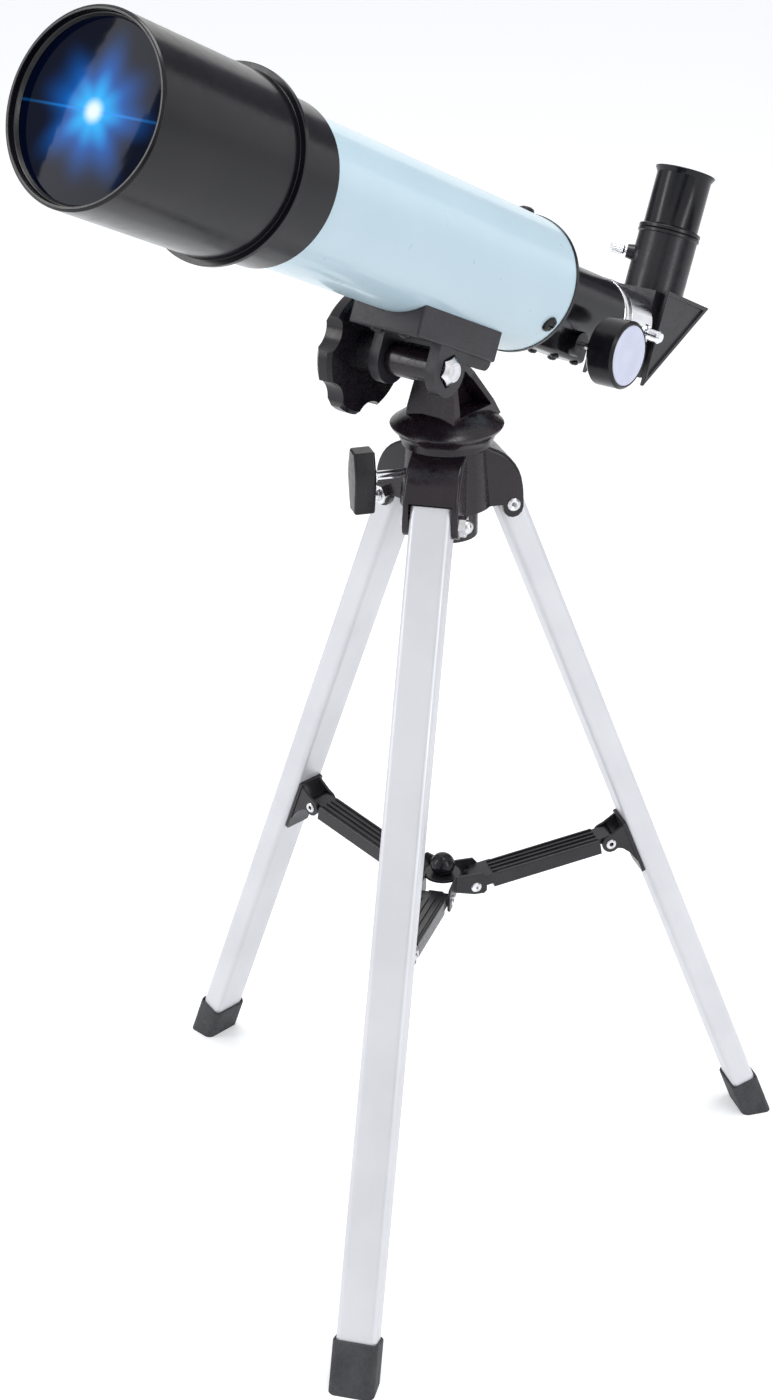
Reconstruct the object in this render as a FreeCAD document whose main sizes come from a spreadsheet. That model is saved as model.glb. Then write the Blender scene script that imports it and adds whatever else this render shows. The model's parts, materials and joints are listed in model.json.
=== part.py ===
import FreeCAD, Part
import math
import os
import Sketcher
from FreeCAD import Placement, Rotation, Vector

# A small refracting telescope on a folding table tripod.
#
# Frame: millimetres, +Z up, origin on the floor under the pan axis. The objective points to -Y and
# upwards; +X is the side of the hexagonal tilt bolt head.
#
# Two local frames are used. In the tube frame, X is across, -Y is forward along the optical axis and
# Z is square to the tube; the origin is on the optical axis. In a leg's frame, X is radial, Y is
# tangential and Z is up. Turned pieces are drawn about Z and then laid into place.

doc = FreeCAD.newDocument("telescope_on_tripod")
sheet = doc.addObject("Spreadsheet::Sheet", "Sizes")


class Size:
    """A length or angle from the sheet: its expression text and its value now."""

    def __init__(self, text, value):
        self.text = text
        self.value = float(value)

    def __add__(self, other):
        other = size(other)
        return Size(f"({self.text} + {other.text})", self.value + other.value)

    def __radd__(self, other):
        return size(other) + self

    def __sub__(self, other):
        other = size(other)
        return Size(f"({self.text} - {other.text})", self.value - other.value)

    def __rsub__(self, other):
        return size(other) - self

    def __mul__(self, other):
        other = size(other)
        return Size(f"({self.text} * {other.text})", self.value * other.value)

    def __rmul__(self, other):
        return size(other) * self

    def __truediv__(self, other):
        other = size(other)
        return Size(f"({self.text} / {other.text})", self.value / other.value)

    def __neg__(self):
        return Size(f"(0 - {self.text})", -self.value)


def size(number):
    """A Size from a Size or a plain number."""
    if isinstance(number, Size):
        return number
    return Size(f"({number:.10g})", number)


def sine(angle):
    return Size(f"sin({angle.text})", math.sin(math.radians(angle.value)))


def cosine(angle):
    return Size(f"cos({angle.text})", math.cos(math.radians(angle.value)))


def slope(rise, run):
    """The angle in degrees of a rise over a run."""
    value = math.degrees(math.atan2(rise.value, run.value))
    return Size(f"(atan2({rise.text}; {run.text}) / 1deg)", value)


def root(number):
    return Size(f"sqrt({number.text})", math.sqrt(number.value))


class Sheet:
    """Writes each driving size to its own cell and hands it back as a Size."""

    def __init__(self):
        self.row = 0

    def __call__(self, alias, value):
        self.row += 1
        cell = f"B{self.row}"
        sheet.set(f"A{self.row}", alias)
        sheet.set(cell, str(value))
        sheet.setAlias(cell, alias)
        return Size(f"Sizes.{alias}", value)


cell = Sheet()

# ---------------------------------------------------------------- driving sizes: attitude and clearances
altitude = cell("altitude", 25.19)
running_gap = cell("running_gap", 0.3)
fit_gap = cell("fit_gap", 0.1)

# main tube and objective end; stations are measured forward along the optical axis
tube_radius = cell("tube_radius", 30)
tube_wall = cell("tube_wall", 1.2)
tube_rear = cell("tube_rear", -55.6)
tube_front = cell("tube_front", 185)
shield_rise = cell("shield_rise", 5.06)
shield_radius = tube_radius + shield_rise
shield_wall = cell("shield_wall", 1.9)
shield_front = cell("shield_front", 233.1)
shield_step = cell("shield_step", 155.3)
shield_rear = cell("shield_rear", 127.2)
collar_rise = cell("collar_rise", 2.3)
collar_radius = tube_radius + collar_rise
ring_rise = cell("ring_rise", 2.34)
ring_radius = shield_radius + ring_rise
ring_width = cell("ring_width", 2.2)
lens_recess = cell("lens_recess", 2.4)
lens_ledge = cell("lens_ledge", 1.3)
crown_thickness = cell("crown_thickness", 6)
flint_thickness = cell("flint_thickness", 3)
lens_ring_width = cell("lens_ring_width", 2)
baffle_station = cell("baffle_station", 60)
baffle_depth = cell("baffle_depth", 8)
baffle_bore = tube_radius - baffle_depth

# focuser
flange_rise = cell("flange_rise", 0.4)
flange_radius = tube_radius + flange_rise
flange_width = cell("flange_width", 1.9)
spigot_length = cell("spigot_length", 14)
drawtube_radius = cell("drawtube_radius", 14)
neck_wall = cell("neck_wall", 3)
neck_radius = drawtube_radius + neck_wall
neck_length = cell("neck_length", 75.6)
drawtube_wall = cell("drawtube_wall", 1.65)
drawtube_length = cell("drawtube_length", 94)
collar_step = cell("collar_step", 2.6)
collar_outer = drawtube_radius + collar_step
collar_width = cell("collar_width", 21.4)
rack_width = cell("rack_width", 5)
rack_height = cell("rack_height", 1.9)
rack_pitch = cell("rack_pitch", 2.2)
pinion_station = cell("pinion_station", -102.2)
pinion_below = cell("pinion_below", 3)
pinion_drop = drawtube_radius + pinion_below
shaft_radius = cell("shaft_radius", 1.5)
knob_radius = cell("knob_radius", 15.3)
knob_width = cell("knob_width", 13.9)
knob_reach = cell("knob_reach", 38)
cap_radius = cell("cap_radius", 13.6)
cap_depth = cell("cap_depth", 1)
housing_half = cell("housing_half", 8.5)
housing_floor = cell("housing_floor", 7.5)
housing_drop = pinion_drop + housing_floor
tube_screw_station = cell("tube_screw_station", -49)
tube_screw_radius = cell("tube_screw_radius", 3.7)

# star diagonal and eyepiece
nose_gap = cell("nose_gap", 0.15)
nose_radius = drawtube_radius - drawtube_wall - nose_gap
nose_length = cell("nose_length", 26)
elbow_front = cell("elbow_front", -159.8)
elbow_top = cell("elbow_top", 20.4)
elbow_back = cell("elbow_back", 43)
elbow_drop = cell("elbow_drop", 45.7)
plate_reach = cell("plate_reach", 17)
plate_thickness = cell("plate_thickness", 2)
box_half = cell("box_half", 13.6)
eyepiece_station = cell("eyepiece_station", -175.8)
holder_radius = cell("holder_radius", 14.2)
holder_top = cell("holder_top", 50.4)
holder_ring = cell("holder_ring", 14.8)
eyepiece_radius = cell("eyepiece_radius", 13.1)
eyepiece_top = cell("eyepiece_top", 78.1)
eyecup_radius = cell("eyecup_radius", 14.6)
barrel_radius = cell("barrel_radius", 12.2)
barrel_length = cell("barrel_length", 27)
barrel_wall = cell("barrel_wall", 1.3)

# saddle and pan head
saddle_front = cell("saddle_front", 32.6)
saddle_back = cell("saddle_back", 28.3)
saddle_half = cell("saddle_half", 17.7)
saddle_floor = cell("saddle_floor", 7.5)
saddle_bottom = tube_radius + saddle_floor
pivot_station = cell("pivot_station", 2.4)
pivot_below = cell("pivot_below", 9.1)
pivot_drop = saddle_bottom + pivot_below
pivot_forward = cell("pivot_forward", 22)
ear_reach = cell("ear_reach", 17)
ear_thickness = cell("ear_thickness", 5)
ear_radius = cell("ear_radius", 11)
bolt_radius = cell("bolt_radius", 3)
bolt_head_across = cell("bolt_head_across", 11)
bolt_head_height = cell("bolt_head_height", 4.2)
tilt_knob_radius = cell("tilt_knob_radius", 27)
tilt_knob_width = cell("tilt_knob_width", 8.5)
tilt_knob_gap = cell("tilt_knob_gap", 8)
boss_radius = cell("boss_radius", 7)
disk_radius = cell("disk_radius", 24.7)
hinge_height = cell("hinge_height", 353.8)
crown_rise = cell("crown_rise", 30.2)
crown_height = hinge_height + crown_rise
disk_rise = cell("disk_rise", 6.7)
disk_height = crown_height + disk_rise
disk_cone = cell("disk_cone", 5.7)
disk_crown = disk_height + disk_cone
pivot_rise = cell("pivot_rise", 31.5)
pivot_height = disk_height + pivot_rise
spindle_radius = cell("spindle_radius", 9)

# tripod
hinge_radius = cell("hinge_radius", 27)
hinge_pin = cell("hinge_pin", 2.2)
foot_circle = cell("foot_circle", 168.2)
leg_azimuth = cell("leg_azimuth", 292.96)
leg_width = cell("leg_width", 18.4)
leg_depth = cell("leg_depth", 12)
leg_wall = cell("leg_wall", 1)
leg_corner = cell("leg_corner", 2.8)
leg_overrun = cell("leg_overrun", 7)
cheek_thickness = cell("cheek_thickness", 2.7)
body_radius = cell("body_radius", 19.6)
centre_boss = cell("centre_boss", 14)
boss_below = cell("boss_below", 14.3)
centre_boss_foot = hinge_height - boss_below
foot_width = cell("foot_width", 21)
foot_depth = cell("foot_depth", 14.6)
foot_height = cell("foot_height", 22)
bracket_radius = cell("bracket_radius", 81.9)
bracket_height = cell("bracket_height", 171.9)
bracket_length = cell("bracket_length", 31)
tongue_half = cell("tongue_half", 5)
rivet_radius = cell("rivet_radius", 1.5)
rivet_head = cell("rivet_head", 2.5)
arm_width = cell("arm_width", 13)
arm_wall = cell("arm_wall", 1.4)
arm_drop = cell("arm_drop", 7.4)
hub_radius = cell("hub_radius", 14.3)
hub_height = cell("hub_height", 160.1)
hub_reach = cell("hub_reach", 19.6)
hub_gap_half = cell("hub_gap_half", 6.8)
hub_core = cell("hub_core", 8.6)
hub_cheek = cell("hub_cheek", 1.2)
hub_top = cell("hub_top", 167)
hub_bottom = cell("hub_bottom", 156.2)
ball_radius = cell("ball_radius", 5.8)
lock_azimuth = cell("lock_azimuth", 232.96)
lock_below = cell("lock_below", 15)
lock_height = crown_height - lock_below
lock_stem = cell("lock_stem", 2)
doc.recompute()


# ---------------------------------------------------------------- places
class Place:
    """A placement held as an expression on the sheet and as its value now."""

    def __init__(self, text, value):
        self.text = text
        self.value = value

    def __mul__(self, other):
        return Place(f"{self.text} * {other.text}", self.value.multiply(other.value))


def at(x=0, y=0, z=0, axis=(0, 0, 1), angle=0):
    """A place at a point, turned about an axis."""
    x, y, z, angle = size(x), size(y), size(z), size(angle)
    spot = f"vector({x.text}; {y.text}; {z.text})"
    turn = f"rotation(vector({axis[0]}; {axis[1]}; {axis[2]}); {angle.text})"
    value = Placement(Vector(x.value, y.value, z.value), Rotation(Vector(*axis), angle.value))
    return Place(f"placement({spot}; {turn})", value)


def put(thing, place):
    thing.Placement = place.value
    thing.setExpression("Placement", place.text)
    return thing


def bind(thing, prop, length):
    length = size(length)
    setattr(thing, prop, length.value)
    thing.setExpression(prop, length.text)


X_AXIS = (1, 0, 0)
Y_AXIS = (0, 1, 0)
Z_AXIS = (0, 0, 1)
IN_PLACE = at()
tilt_frame = at(0, -pivot_forward, pivot_height) * at(axis=X_AXIS, angle=-altitude)
tube_frame = tilt_frame * at(0, pivot_station, pivot_drop)
turned_on_tube = tube_frame * at(axis=X_AXIS, angle=90)
across = at(axis=Y_AXIS, angle=90)
leg_slope = slope(foot_circle - hinge_radius, hinge_height)


def sector(index):
    """The frame of one third of the tripod: X radial along leg number index."""
    return at(axis=Z_AXIS, angle=leg_azimuth + 120 * index)


def leg_frame(index):
    """At the hinge pin of a leg, with Z up along the leg."""
    return sector(index) * at(hinge_radius, 0, hinge_height) * at(axis=Y_AXIS, angle=-leg_slope)


# ---------------------------------------------------------------- ways of making
made = []
names = {}


def plain(name):
    """A fresh object name built on a word."""
    names[name] = names.get(name, 0) + 1
    return f"{name}_{names[name]}"


def piece(label, shape, place=IN_PLACE):
    """Names a finished sub-part and puts it in place."""
    shape.Label = label
    put(shape, place)
    made.append(shape)
    return shape


def cylinder(radius, length, place=IN_PLACE):
    rod = doc.addObject("Part::Cylinder", plain("rod"))
    bind(rod, "Radius", radius)
    bind(rod, "Height", length)
    return put(rod, place)


def cone(radius_low, radius_high, length, place=IN_PLACE):
    horn = doc.addObject("Part::Cone", plain("cone"))
    bind(horn, "Radius1", radius_low)
    bind(horn, "Radius2", radius_high)
    bind(horn, "Height", length)
    return put(horn, place)


def ball(radius, place=IN_PLACE):
    globe = doc.addObject("Part::Sphere", plain("ball"))
    bind(globe, "Radius", radius)
    return put(globe, place)


def block(x, y, z, place=IN_PLACE):
    """A box between two bounds on each axis, in the frame of the place."""
    brick = doc.addObject("Part::Box", plain("block"))
    bind(brick, "Length", x[1] - x[0])
    bind(brick, "Width", y[1] - y[0])
    bind(brick, "Height", z[1] - z[0])
    return put(brick, place * at(x[0], y[0], z[0]))


def span(half):
    """Bounds the same distance either side of the middle."""
    return (-size(half), size(half))


def hexagon(across_flats, length, place=IN_PLACE):
    nut = doc.addObject("Part::Prism", plain("hexagon"))
    nut.Polygon = 6
    bind(nut, "Circumradius", across_flats / math.sqrt(3))
    bind(nut, "Height", length)
    return put(nut, place)


def fuse(*shapes):
    joined = doc.addObject("Part::MultiFuse", plain("joined"))
    joined.Shapes = list(shapes)
    joined.Refine = True
    return joined


def cut(base, *tools):
    left = doc.addObject("Part::Cut", plain("cut"))
    left.Base = base
    left.Tool = tools[0] if len(tools) == 1 else fuse(*tools)
    left.Refine = True
    return left


def common(first, second):
    shared = doc.addObject("Part::Common", plain("shared"))
    shared.Base = first
    shared.Tool = second
    return shared


def rounded(base, radius, wanted):
    """Rounds the edges that a test picks by their middle point, direction and curve."""
    doc.recompute()
    radius = size(radius)
    picked = []
    for number, edge in enumerate(base.Shape.Edges, 1):
        middle = edge.valueAt((edge.FirstParameter + edge.LastParameter) / 2)
        along = edge.tangentAt((edge.FirstParameter + edge.LastParameter) / 2)
        if wanted(middle, along, edge):
            picked.append((number, radius.value, radius.value))
    if not picked:
        raise ValueError(f"no edge to round on {base.Name}")
    soft = doc.addObject("Part::Fillet", plain("rounded"))
    soft.Base = base
    soft.Edges = picked
    doc.recompute()
    return soft


def outline(body, plane, points):
    """A closed sketch of straight sides; every corner is held by two sizes."""
    drawing = body.newObject("Sketcher::SketchObject", plain("outline"))
    flat = [part for part in body.Origin.OriginFeatures if part.Role == plane][0]
    drawing.AttachmentSupport = (flat, [""])
    drawing.MapMode = "FlatFace"
    corners = [(size(across_), size(up)) for across_, up in points]
    spots = [Vector(a.value, b.value, 0) for a, b in corners]
    count = len(spots)
    sides = [Part.LineSegment(spots[n], spots[(n + 1) % count]) for n in range(count)]
    drawing.addGeometry(sides, False)
    joins = [Sketcher.Constraint("Coincident", n, 2, (n + 1) % count, 1) for n in range(count)]
    drawing.addConstraint(joins)
    for n, (a, b) in enumerate(corners):
        held = drawing.addConstraint(Sketcher.Constraint("DistanceX", n, 1, a.value))
        drawing.setExpression(f"Constraints[{held}]", a.text)
        held = drawing.addConstraint(Sketcher.Constraint("DistanceY", n, 1, b.value))
        drawing.setExpression(f"Constraints[{held}]", b.text)
    return drawing


def turned(points):
    """A piece turned about Z from its half section of (radius, height) corners."""
    body = doc.addObject("PartDesign::Body", plain("turned"))
    drawing = outline(body, "XZ_Plane", points)
    spun = body.newObject("PartDesign::Revolution", plain("turning"))
    spun.Profile = drawing
    spun.ReferenceAxis = (drawing, ["V_Axis"])
    spun.Angle = 360
    drawing.Visibility = False
    return body


def slab(points, half, plane="YZ_Plane"):
    """A flat piece of an outline, the same distance either side of its plane."""
    body = doc.addObject("PartDesign::Body", plain("slab"))
    drawing = outline(body, plane, points)
    pad = body.newObject("PartDesign::Pad", plain("pad"))
    pad.Profile = drawing
    pad.SideType = "Symmetric"
    bind(pad, "Length", 2 * size(half))
    drawing.Visibility = False
    return body


def arc(centre, radius, first, last, steps):
    """Corners along an arc, so that a round stretch of an outline follows one radius."""
    spots = []
    for n in range(steps + 1):
        angle = math.radians(first + (last - first) * n / steps)
        spots.append((centre[0] + size(radius) * math.cos(angle), centre[1] + size(radius) * math.sin(angle)))
    return spots


# ---------------------------------------------------------------- objective end
lens_seat = shield_front - lens_recess - lens_ring_width - crown_thickness - flint_thickness
lens_bore = shield_radius - shield_wall
tube_bore = tube_radius + fit_gap


def dew_shield():
    """Lens cell and short dew shield in one moulding, stepped down to a collar round the tube."""
    ledge = lens_bore - lens_ledge
    ledge_back = lens_seat - 4
    shape = turned([
        (lens_bore, shield_front), (shield_radius - 0.8, shield_front),
        (shield_radius, shield_front - 0.8), (shield_radius, shield_step + ring_width / 2),
        (ring_radius, shield_step + ring_width / 2), (ring_radius, shield_step - ring_width / 2),
        (collar_radius, shield_step - ring_width / 2), (collar_radius, shield_rear + 0.5),
        (collar_radius - 0.5, shield_rear), (tube_bore, shield_rear), (tube_bore, tube_front),
        (ledge, tube_front), (ledge, ledge_back), (ledge, lens_seat), (lens_bore, lens_seat)])
    piece("dew_shield", shape, turned_on_tube)


def lens(label, back, thickness, bulge_front, bulge_back):
    """A lens: a disk with a shallow cap on each face; a negative bulge hollows the face."""
    edge = lens_bore - fit_gap
    steps = 6
    section = [(0, back - bulge_back)]
    for n in range(1, steps + 1):
        share = n / steps
        section.append((edge * share, back - size(bulge_back) * (1 - share * share)))
    for n in range(steps, 0, -1):
        share = n / steps
        section.append((edge * share, back + thickness + size(bulge_front) * (1 - share * share)))
    section.append((0, back + thickness + bulge_front))
    piece(label, turned(section), turned_on_tube)


def objective():
    """Flint behind, crown in front, held on the ledge by a threaded ring."""
    bulge = 1.2
    lens("objective_flint", lens_seat, flint_thickness, -bulge, 0)
    lens("objective_crown", lens_seat + flint_thickness, crown_thickness, bulge, bulge - fit_gap)
    front = lens_seat + flint_thickness + crown_thickness
    inner = lens_bore - lens_ledge
    ring = turned([(inner, front + 0.2), (lens_bore - fit_gap, front + 0.05), (lens_bore - fit_gap, front + lens_ring_width),
                   (inner + 0.8, front + lens_ring_width)])
    piece("lens_retaining_ring", ring, turned_on_tube)


def main_tube():
    """Rolled and enamelled tube with three screw holes at its rear."""
    shell = turned([(tube_radius - tube_wall, tube_rear), (tube_radius, tube_rear),
                    (tube_radius, tube_front - fit_gap), (tube_radius - tube_wall, tube_front - fit_gap)])
    holes = [cylinder(1.6, tube_radius + 5, at(0, 0, tube_screw_station) * at(axis=Z_AXIS, angle=turn)
                      * across) for turn in (90, 210, 330)]
    piece("main_tube", cut(shell, *holes), turned_on_tube)
    inner = tube_radius - tube_wall
    baffle = turned([(baffle_bore, baffle_station), (inner - 1, baffle_station),
                     (inner - 1, baffle_station - 6), (inner - fit_gap, baffle_station - 6),
                     (inner - fit_gap, baffle_station + 1), (baffle_bore, baffle_station + 1)])
    piece("tube_baffle", baffle, turned_on_tube)


# ---------------------------------------------------------------- focuser
neck_rear = tube_rear - flange_width - neck_length
pinion_radius = pinion_drop - (drawtube_radius - 0.9 + rack_height) - 0.2 + 1
rack_tip = pinion_drop - pinion_radius - 0.2
drawtube_front = neck_rear - fit_gap + drawtube_length - 12


def focuser_body():
    """Moulded rear cell: spigot in the tube, flange, neck and the housing of the pinion below."""
    spigot = tube_radius - tube_wall - fit_gap
    bore = drawtube_radius + running_gap / 2
    shell = turned([
        (bore, neck_rear), (neck_radius - 0.6, neck_rear), (neck_radius, neck_rear + 0.6),
        (neck_radius, tube_rear - flange_width - 4), (neck_radius + 4, tube_rear - flange_width),
        (flange_radius, tube_rear - flange_width), (flange_radius, tube_rear), (spigot, tube_rear),
        (spigot, tube_rear + spigot_length), (spigot - 2.4, tube_rear + spigot_length),
        (spigot - 2.4, tube_rear + 2), (bore + 2, tube_rear), (bore, tube_rear)])
    put(shell, at(axis=X_AXIS, angle=90))
    housing = rounded(block(span(housing_half), (-tube_rear + 1, -pinion_station + 13),
                            (-housing_drop, -(neck_radius - 4))),
                      2.5, lambda spot, way, edge: abs(way.y) > 0.9 and spot.z < -20)
    cheeks = [cylinder(5.6, 5, at(side * (housing_half - 0.5), -pinion_station, -pinion_drop)
                       * at(axis=Y_AXIS, angle=90 * side)) for side in (1, -1)]
    bores = [cylinder(bore, neck_length + 30, at(0, -neck_rear + 5, 0) * at(axis=X_AXIS, angle=90)),
             cylinder(shaft_radius + running_gap / 2, 60, at(-30, -pinion_station, -pinion_drop) * across),
             cylinder(pinion_radius + 0.5, 2 * rack_width, at(-rack_width, -pinion_station, -pinion_drop) * across),
             block(span(rack_width / 2 + running_gap), (-tube_rear - spigot_length, -neck_rear + 1),
                   (-rack_tip - 0.6, 0))]
    holes = [cylinder(1.2, 12, at(axis=Y_AXIS, angle=-turn) * at(0, -tube_screw_station, tube_radius - 10))
             for turn in (0, 120, 240)]
    under = [cylinder(1.1, 8, at(place_x, -pinion_station - 13 + ahead, -housing_drop - 1))
             for place_x in (-6, 6) for ahead in (4, 22)]
    piece("focuser_body", cut(fuse(shell, housing, *cheeks), *bores, *holes, *under), tube_frame)


def screw_heads(places, radius, height, shank, length):
    """A group of like screws: domed head with a cross slot, shank into the work."""
    screws = []
    for place in places:
        head = turned([(0, height), (radius * 0.55, height * 0.9), (radius * 0.9, height * 0.55),
                       (radius, 0), (shank, 0), (shank, -length), (0, -length)])
        slots = [block(span(radius * 0.62), span(0.35), (height * 0.45, height + 1)),
                 block(span(0.35), span(radius * 0.62), (height * 0.45, height + 1))]
        screw = cut(head, *slots)
        put(screw, place)
        screws.append(screw)
    group = doc.addObject("Part::Compound", plain("screws"))
    group.Links = screws
    return group


def focuser_screws():
    """Three screws hold the rear cell in the tube, four more the pinion housing."""
    places = [at(axis=Y_AXIS, angle=-turn) * at(0, -tube_screw_station, tube_radius + 0.05)
              for turn in (0, 120, 240)]
    group = screw_heads(places, tube_screw_radius, size(2), size(1.1), size(4))
    piece("tube_screws", group, tube_frame)
    places = [at(place_x, -pinion_station - 13 + ahead, -housing_drop) * at(axis=X_AXIS, angle=180)
              for place_x in (-6, 6) for ahead in (4, 22)]
    group = screw_heads(places, size(2.2), size(1.4), size(1), size(4))
    piece("housing_screws", group, tube_frame)


def drawtube():
    """Chromed tube with a rack below and a collar that takes the diagonal."""
    inner = drawtube_radius - drawtube_wall
    end = neck_rear - fit_gap
    shell = turned([
        (inner, end - collar_width), (collar_outer - 0.9, end - collar_width),
        (collar_outer, end - collar_width + 0.9), (collar_outer, end - 0.5), (collar_outer - 0.5, end),
        (drawtube_radius, end), (drawtube_radius, drawtube_front), (inner, drawtube_front)])
    put(shell, at(axis=X_AXIS, angle=90))
    rack = block(span(rack_width / 2), (-drawtube_front, -end - 1), (-rack_tip, -inner - 0.5))
    grooves = []
    count = int((drawtube_front.value - end.value - 2) / rack_pitch.value)
    for n in range(count):
        grooves.append(block(span(rack_width / 2 + 1),
                             (-drawtube_front + 1 + rack_pitch * n, -drawtube_front + 1 + rack_pitch * (n + 0.45)),
                             (-rack_tip - 1, -rack_tip + 0.8)))
    across_screw = at(0, -(end - collar_width + lock_setback), 0) * at(axis=Y_AXIS, angle=lock_turn)
    thread = cylinder(1.5, 12, across_screw * at(0, 0, inner - 1))
    lug = cone(4.4, 3.6, 3.2, across_screw * at(0, 0, collar_outer - 2))
    core = cylinder(inner, 30, at(0, -(end - collar_width - 1), 0) * at(axis=X_AXIS, angle=90))
    piece("drawtube", cut(fuse(shell, cut(rack, *grooves), lug), thread, core), tube_frame)


lock_turn = size(96)
lock_setback = size(5.5)
holder_screw_turn = size(60)
holder_screw_height = size(35.7)


def thumbscrew(label, place, radius):
    """Knurled chrome head on a threaded shank."""
    head = turned([(0, 13), (radius - 0.9, 13), (radius, 11.8), (radius, 6.6), (radius - 0.6, 6), (1.3, 5.8),
                   (1.3, 0), (0, 0)])
    flutes = [cylinder(0.3, 5, at(axis=Z_AXIS, angle=36 * n) * at(radius + 0.1, 0, 6.8)) for n in range(10)]
    piece(label, cut(head, *flutes), place)


def nose_thumbscrew():
    inner = drawtube_radius - drawtube_wall
    place = (tube_frame * at(0, -(neck_rear - fit_gap - collar_width + lock_setback), 0)
             * at(axis=Y_AXIS, angle=lock_turn) * at(0, 0, inner + 0.15))
    thumbscrew("drawtube_thumbscrew", place, size(3))


def pinion():
    """Shaft with its pinion and end collar; one knob with a pale cap on the near end."""
    lay = tube_frame * at(0, -pinion_station, -pinion_drop) * across
    reach = knob_reach - cap_depth - 2
    far_end = housing_half + 4.5 + running_gap
    teeth = 12
    roll = cylinder(pinion_radius, 2 * rack_width - 1, at(0, 0, -rack_width + 0.5))
    gaps = [cylinder(0.5, 2 * rack_width, at(axis=Z_AXIS, angle=360 / teeth * n)
                     * at(pinion_radius + 0.15, 0, -rack_width)) for n in range(teeth)]
    rod = cylinder(shaft_radius, reach + far_end + 2, at(0, 0, -far_end - 2))
    stop = cylinder(shaft_radius + 1.5, 2, at(0, 0, -far_end - 2))
    piece("pinion_shaft", fuse(rod, stop, cut(roll, *gaps)), lay)
    inner = knob_reach - knob_width
    body = turned([
        (shaft_radius + 0.02, inner - 2), (5, inner - 2), (5, inner), (knob_radius - 1.6, inner),
        (knob_radius, inner + 1.6), (knob_radius, knob_reach - 1.2), (knob_radius - 1.2, knob_reach),
        (cap_radius + fit_gap, knob_reach), (cap_radius + fit_gap, knob_reach - cap_depth),
        (0, knob_reach - cap_depth), (0, reach + fit_gap), (shaft_radius + 0.02, reach + fit_gap)])
    piece("focus_knob", body, lay)
    cap = turned([(0, knob_reach - cap_depth), (cap_radius, knob_reach - cap_depth),
                  (cap_radius, knob_reach - 0.35), (cap_radius - 0.4, knob_reach), (0, knob_reach)])
    piece("focus_knob_cap", cap, lay)


# ---------------------------------------------------------------- star diagonal
def elbow_outline(inset):
    """The right triangle of the elbow with every side moved in by the inset."""
    diagonal_inset = inset * (1 + math.sqrt(2))
    front = -elbow_front + inset
    top = elbow_top - inset
    back = -elbow_front + elbow_back - diagonal_inset
    foot = elbow_top - elbow_drop + diagonal_inset
    return [(front, top), (back, top), (front, foot)]


def holder_screw():
    """The axis of the screw that grips the eyepiece, from the middle of the holder outwards."""
    level = at(0, -eyepiece_station, holder_screw_height)
    return level * at(axis=Z_AXIS, angle=-holder_screw_turn) * at(axis=X_AXIS, angle=90)


def diagonal():
    """Elbow of a star diagonal: nose, square throat, wedge body and eyepiece holder."""
    wedge = slab(elbow_outline(size(1.5)), box_half)
    throat_front = neck_rear - fit_gap - collar_width - running_gap
    throat = block(span(box_half - 0.6), (-throat_front, -elbow_front + 4), (-box_half, elbow_top - 1.5))
    nose = cylinder(nose_radius, nose_length, at(0, -throat_front + 1, 0) * at(axis=X_AXIS, angle=90))
    holder = turned([(0, elbow_top - 6), (box_half - 0.2, elbow_top - 6), (box_half - 0.2, elbow_top - 1.4),
                     (holder_radius, elbow_top - 1.4), (holder_radius, holder_top - 4),
                     (holder_ring, holder_top - 3.6), (holder_ring, holder_top - 2.4),
                     (holder_radius, holder_top - 2), (holder_ring, holder_top - 1.6),
                     (holder_ring, holder_top - 0.4), (holder_ring - 0.4, holder_top), (0, holder_top)])
    put(holder, at(0, -eyepiece_station, 0))
    boss = cone(4, 3.2, 4.6, holder_screw() * at(0, 0, holder_radius - 1.5))
    light = [cylinder(nose_radius - 1.6, nose_length + 30, at(0, -elbow_front + 8, 0) * at(axis=X_AXIS, angle=90)),
             cylinder(barrel_radius + fit_gap, holder_top, at(0, -eyepiece_station, elbow_top - 1)),
             cylinder(nose_radius - 1.6, 30, at(0, -eyepiece_station, 0)),
             slab(elbow_outline(size(3.6)), prism_half + fit_gap),
             cylinder(1.5, 30, holder_screw())]
    piece("diagonal_body", cut(fuse(wedge, throat, nose, holder, boss), *light), tube_frame)


prism_half = size(11)


def diagonal_covers():
    """A rimmed triangular plate closes each side of the elbow."""
    for label, side in (("diagonal_cover_right", 1), ("diagonal_cover_left", -1)):
        plate = slab(elbow_outline(size(0)), plate_thickness / 2)
        put(plate, at((plate_reach - plate_thickness / 2) * side, 0, 0))
        web = slab(elbow_outline(size(1.5)), (plate_reach - box_half - plate_thickness) / 2)
        put(web, at(((plate_reach + box_half - plate_thickness) / 2 + 0.02) * side, 0, 0))
        sunk = slab(elbow_outline(size(2)), size(1))
        put(sunk, at((plate_reach + 0.1) * side, 0, 0))
        piece(label, cut(fuse(plate, web), sunk), tube_frame)


def prism():
    """Right-angle glass prism that turns the light up into the eyepiece."""
    piece("diagonal_prism", slab(elbow_outline(size(3.6) + fit_gap), prism_half), tube_frame)


def eyepiece_thumbscrew():
    place = tube_frame * holder_screw() * at(0, 0, barrel_radius + fit_gap + 0.15)
    thumbscrew("eyepiece_thumbscrew", place, size(2.4))


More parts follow.
